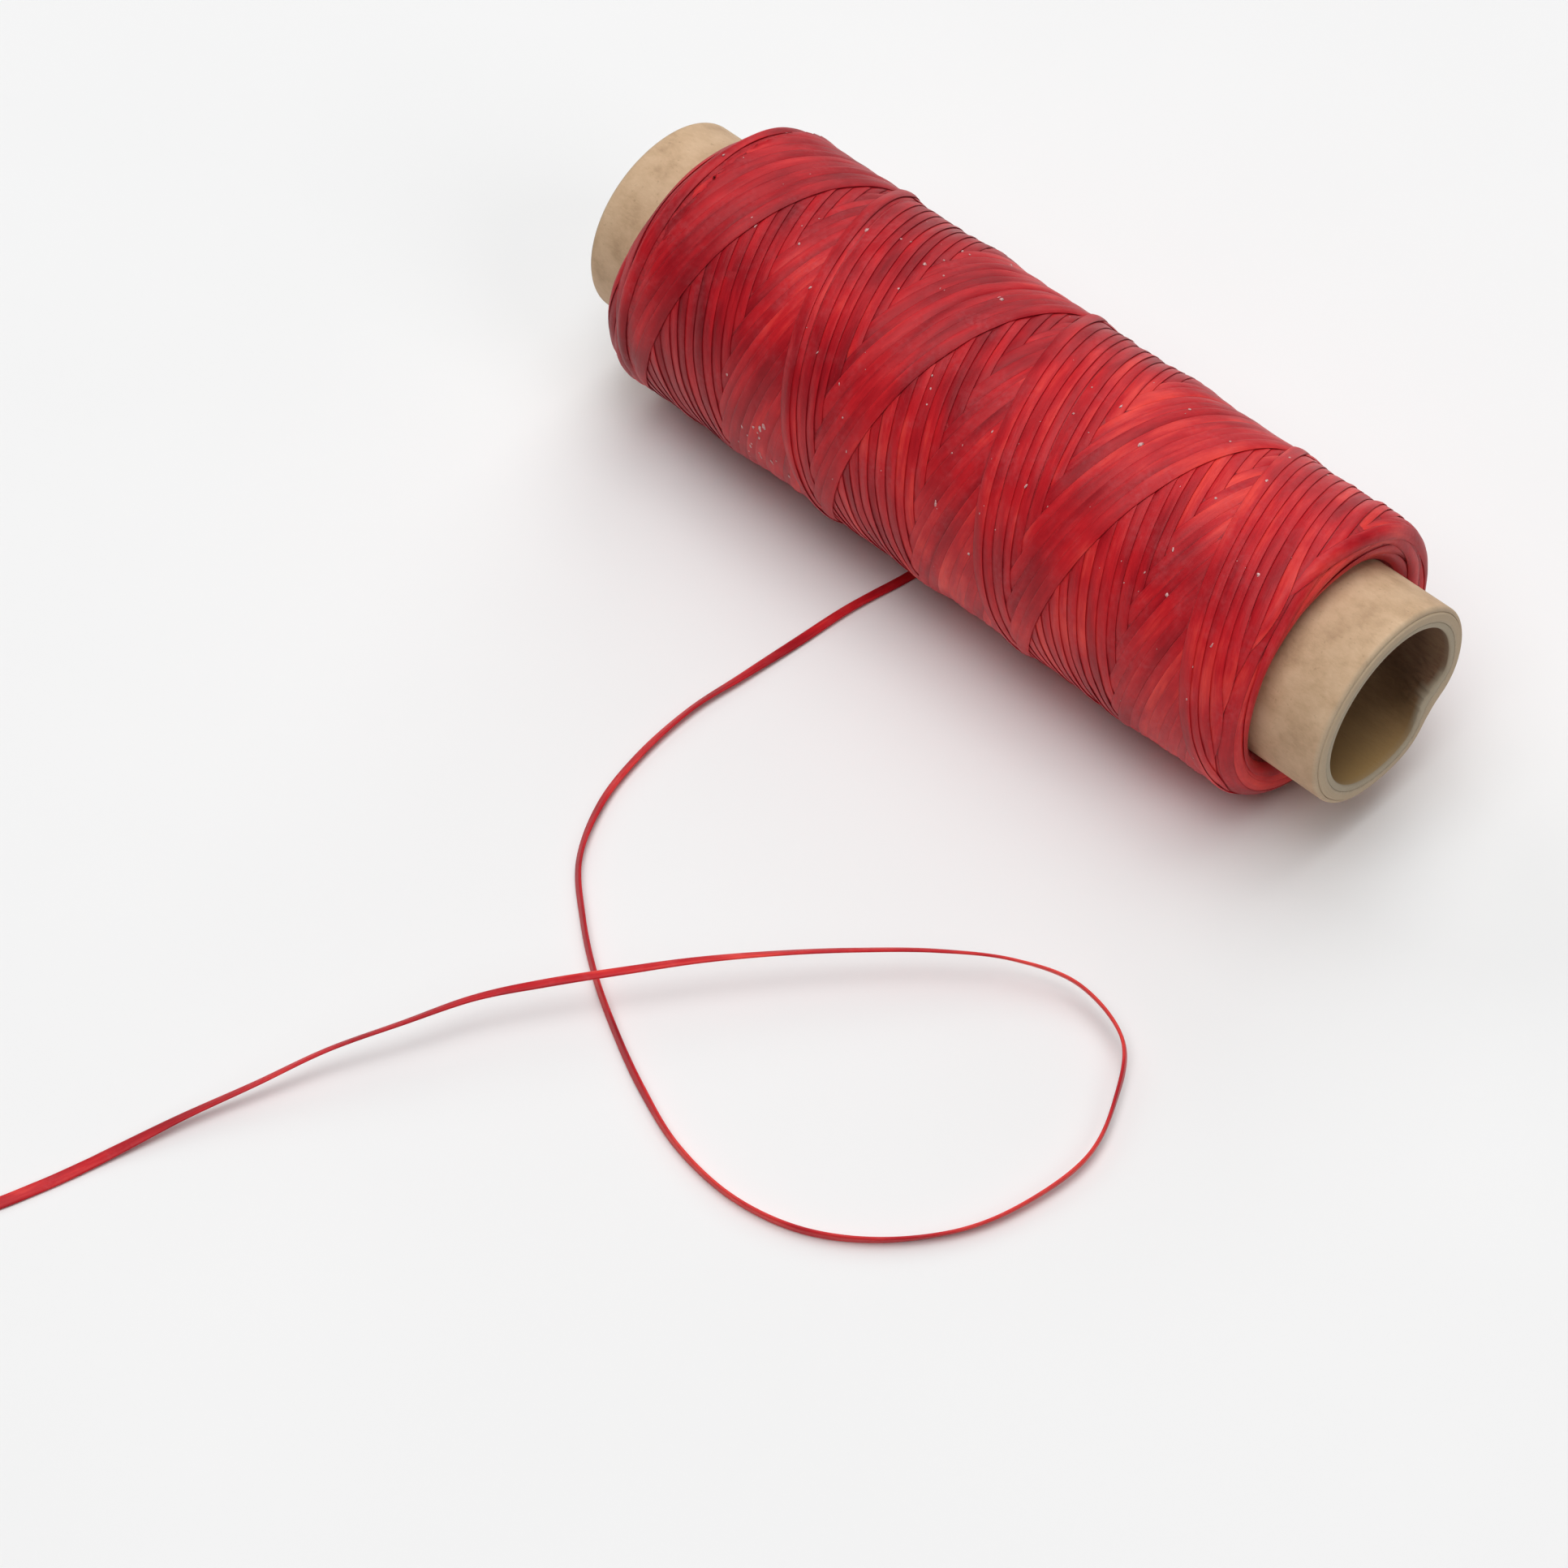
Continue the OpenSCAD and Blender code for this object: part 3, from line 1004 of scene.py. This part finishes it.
def make_core(material, older, column_mean):
    """The older layers under the shown strands, as one closed ring round the tube."""
    us = np.linspace(-CORE_HALF, CORE_HALF, CORE_RINGS)
    vs = np.arange(CORE_SIDES) / CORE_SIDES * GIRTH
    uu, vv = np.meshgrid(us, vs, indexing="ij")
    height = np.maximum(lowest(older, uu, vv) - CORE_GAP, lowest(filled(relief), uu, vv) - CORE_DEPTH)
    height = height - level(us, column_mean)[:, None]
    theta = vs / CROWN
    place = surface(us[:, None], theta[None, :], height)
    # It keeps clear of the tube and the floor.
    across = place[..., 1:] - (0, AXIS_HEIGHT)
    radius = np.linalg.norm(across, axis=-1, keepdims=True)
    across = across / radius * np.maximum(radius, TUBE_RADIUS + 0.05)
    place[..., 1:] = across + (0, AXIS_HEIGHT)
    place[..., 2] = np.maximum(place[..., 2], 2 * FLOOR_GAP)
    bore = TUBE_RADIUS + 0.02
    bore_ends = (place[-1, :, 0].mean() - 0.3, place[0, :, 0].mean() + 0.3)
    inside = [
        np.stack([np.full(CORE_SIDES, x), bore * np.cos(theta), AXIS_HEIGHT + bore * np.sin(theta)], axis=-1)
        for x in bore_ends
    ]
    place = np.concatenate([place, np.array(inside)])
    return make_piece("older_layers", place.reshape(-1, 3), ring_faces(*place.shape[:2]), material)


def ride_on_spool(piece, slot_name, *replaced):
    """The piece turns with the spool, and stands for the CAD nodes it replaces, if any."""
    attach(piece, "spool")
    if replaced:
        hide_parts(*replaced)


# ---------------------------------------------------------------- the paper tube

# The right rim is pushed in on its lower back side. Each dent is (middle, reach above,
# reach below, depth), with angles in degrees, on the whole wall and on its bore side.
WALL_DENT = (-42, 14, 18, 0.85)
BORE_DENT = (-27, 11, 20, 1.2)
CRUSH_LENGTH = 5.0
TUBE_SIDES = 256
# Rings of points along half the tube, closer together towards its end.
TUBE_STATIONS = [12, 24, 33, 36, 38, 39.5, 40.5, 41.2]
# The tube's ends are a little out of round and not quite square.
OUT_OF_ROUND = 0.035
OUT_OF_SQUARE = 0.05
WORN_LENGTH = 0.28
# Middle of the painted light on the bore's low side.
PAINTED_LIGHT_ANGLE = math.radians(-105)


def dent(theta, middle, above, below, depth):
    """A smooth hollow round the rim, with its own reach above and below its middle."""
    off = (np.degrees(theta) - middle + 180) % 360 - 180
    reach = np.where(off > 0, above, below)
    return depth * np.exp(-np.abs(off / reach) ** 2.4)


def crush(x, r, theta):
    """How far a point of the tube is pushed in at the dented right rim."""
    near = ease(np.clip((x - (TUBE_END - CRUSH_LENGTH)) / CRUSH_LENGTH, 0, 1))
    inner = np.clip((TUBE_RADIUS - r) / (TUBE_RADIUS - BORE_RADIUS), 0, 1)
    torn = 1 + 0.07 * np.sin(theta * 43) + 0.06 * np.sin(theta * 71 + 2)
    return near * (dent(theta, *WALL_DENT) + inner * torn * dent(theta, *BORE_DENT))


def lathe(name, outline, material):
    """A closed ring turned about the tube's axis from an outline of (x, r) points."""
    outline = np.array(outline, float)
    theta = np.arange(TUBE_SIDES)[None, :] / TUBE_SIDES * 2 * math.pi
    x, r = outline[:, 0][:, None], outline[:, 1][:, None]
    # The same seed for every ply keeps them one inside the other.
    wobble = np.random.default_rng(1)
    waves = sum(
        wobble.normal() * np.cos(k * theta + wobble.random() * 6.28) / k for k in range(2, 7)
    )
    end_share = np.clip((np.abs(x) - 38) / 4, 0, 1)
    radius = r + OUT_OF_ROUND * waves * end_share - crush(x, r, theta)
    xx = x + OUT_OF_SQUARE * waves * end_share * np.sign(x)
    place = np.stack([xx, radius * np.cos(theta), AXIS_HEIGHT + radius * np.sin(theta)], axis=-1)
    end = TUBE_END - np.abs(x)
    torn = (x > 0) * dent(theta, *BORE_DENT[:3], 1.0)
    low = np.clip(np.cos(theta - PAINTED_LIGHT_ANGLE), 0, 1)
    painted = {
        "radius": r,
        "turn": theta,
        "end": end,
        "worn": np.clip((WORN_LENGTH + 0.6 * torn - end) / 0.15, 0, 1),
        # Painted light on the bore's low side, fading in from its mouth.
        "bore_painted_light": low ** 1.5 * np.exp(-end / 9),
    }
    attributes = {key: np.broadcast_to(values, xx.shape).ravel() for key, values in painted.items()}
    faces = ring_faces(*xx.shape)[:, ::-1]
    return make_piece(name, place.reshape(-1, 3), faces, material, attributes)


def ply_outline(inner, outer, end, outer_round, inner_round):
    """Outline of one ply, with rounded corners at both ends, walked from the bore side."""
    turns = np.linspace(0, math.pi / 2, 7)
    stations = [x for x in TUBE_STATIONS if x < end - max(outer_round, inner_round)]

    def corner(radius, middle, sign):
        return [(end - radius + radius * math.sin(t), middle + sign * radius * math.cos(t)) for t in turns]

    right = [(x, inner) for x in stations] + corner(inner_round, inner + inner_round, -1)
    right += corner(outer_round, outer - outer_round, 1)[::-1] + [(x, outer) for x in stations[::-1]]
    left = [(-x, r) for x, r in right[::-1]]
    return [(0, inner)] + right + [(0, outer)] + left


def make_tube(kraft, board, liner):
    """The three plies of the tube. The board's rubbed end stands out a little between the others."""
    glue = 0.02
    cover = ply_outline(BOARD_RADIUS + glue, TUBE_RADIUS, TUBE_END - 0.16, 0.36, 0.03)
    middle = ply_outline(LINER_RADIUS, BOARD_RADIUS, TUBE_END, 0.24, 0.06)
    inside = ply_outline(BORE_RADIUS, LINER_RADIUS - glue, TUBE_END - 0.02, 0.04, 0.22)
    ride_on_spool(lathe("kraft_ply", cover, kraft), "kraft_cover", "outer_ply")
    ride_on_spool(lathe("board_ply", middle, board), "tube_board", "middle_ply")
    ride_on_spool(lathe("liner_ply", inside, liner), "tube_liner", "inner_ply")


# ---------------------------------------------------------------- crumbs of wax

# Clusters of crumbs as (x, angle in degrees, spread in mm, count), and loose ones.
CRUMB_CLUSTERS = [(-17, 192, 1.6, 16), (-12, 76, 3.5, 12), (9, 80, 4, 6), (27, 125, 3, 4)]
LOOSE_CRUMBS = 170
CRUMB_SIDES = 8
CRUMB_RINGS = 5


def make_crumbs(material, column_mean):
    """Small flattened crumbs of wax on the strands, some of them in clusters."""
    u, turn = [rng.uniform(-34, 34, LOOSE_CRUMBS)], [rng.uniform(0, 2 * math.pi, LOOSE_CRUMBS)]
    for x, angle, spread, count in CRUMB_CLUSTERS:
        u.append(x + rng.normal(0, spread, count))
        turn.append(math.radians(angle) + rng.normal(0, spread, count) / CROWN)
    u, turn = np.concatenate(u), np.concatenate(turn)
    size = 0.035 + 0.1 * rng.random(len(u)) ** 3
    # Crumbs in clusters are bigger.
    size[LOOSE_CRUMBS:] += 0.05
    length = 1 + 1.8 * rng.random(len(u)) ** 2
    lean = rng.choice([-1, 1], len(u)) * 0.28 + 0.2 * rng.standard_normal(len(u))
    lumps = 1 + 0.25 * rng.standard_normal((len(u), CRUMB_RINGS, CRUMB_SIDES))
    base = read_relief(relief, u, turn * CROWN) - level(u, column_mean)
    u, turn, size, length, lean, base = [a[:, None, None] for a in (u, turn, size, length, lean, base)]
    up = (math.pi / 2 * np.arange(CRUMB_RINGS) / (CRUMB_RINGS - 1))[:, None]
    around = 2 * math.pi * np.arange(CRUMB_SIDES) / CRUMB_SIDES
    reach = size * np.maximum(np.cos(up), 0.25) * lumps
    dv, du = reach * length * np.cos(around), reach * np.sin(around)
    dv, du = dv - du * lean, du + dv * lean
    place = surface(u + du, turn + dv / CROWN, base + size * (np.sin(up) * 0.55 - 0.12))
    place[..., 2] = np.maximum(place[..., 2], FLOOR_GAP)
    points_each = CRUMB_RINGS * CRUMB_SIDES
    faces = [tube_faces(CRUMB_RINGS, CRUMB_SIDES, n * points_each) for n in range(len(u))]
    return make_piece("wax_crumbs", place.reshape(-1, 3), np.concatenate(faces), material)


# ---------------------------------------------------------------- making it all


def make_floor(material):
    """The surface that the spool and its loose thread lie on."""
    half = FLOOR_HALF
    points = [(-half, -half, 0), (half, -half, 0), (half, half, 0), (-half, half, 0)]
    make_piece("floor", points, [[0, 1, 2, 3]], material, rounded=False)


make_camera()
make_light()
thread = thread_material()
make_free_thread(thread)

laid, older = wind()
column_mean = smooth(relief.mean(axis=1), 1.0 / GRID)
core = core_material()
ride_on_spool(
    make_core(core, older, column_mean), "waxed_thread",
    "inner_winding", "middle_winding", "anchor_turns",
)
strands = make_strands(thread, laid, column_mean)
for strand in strands:
    ride_on_spool(strand, "waxed_thread")
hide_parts("outer_winding")
ride_on_spool(make_crumbs(wax_material(), column_mean), "waxed_thread")
kraft, board, liner = kraft_material(), board_material(), liner_material()
make_tube(kraft, board, liner)
make_floor(floor_material())

NODE_MATERIALS = {
    "outer_ply": kraft, "middle_ply": board, "inner_ply": liner, "free_thread": thread,
    "outer_winding": thread, "middle_winding": core, "inner_winding": core, "anchor_turns": core,
}
for node, material in NODE_MATERIALS.items():
    frame["nodes"][node].data.materials.clear()
    frame["nodes"][node].data.materials.append(material)
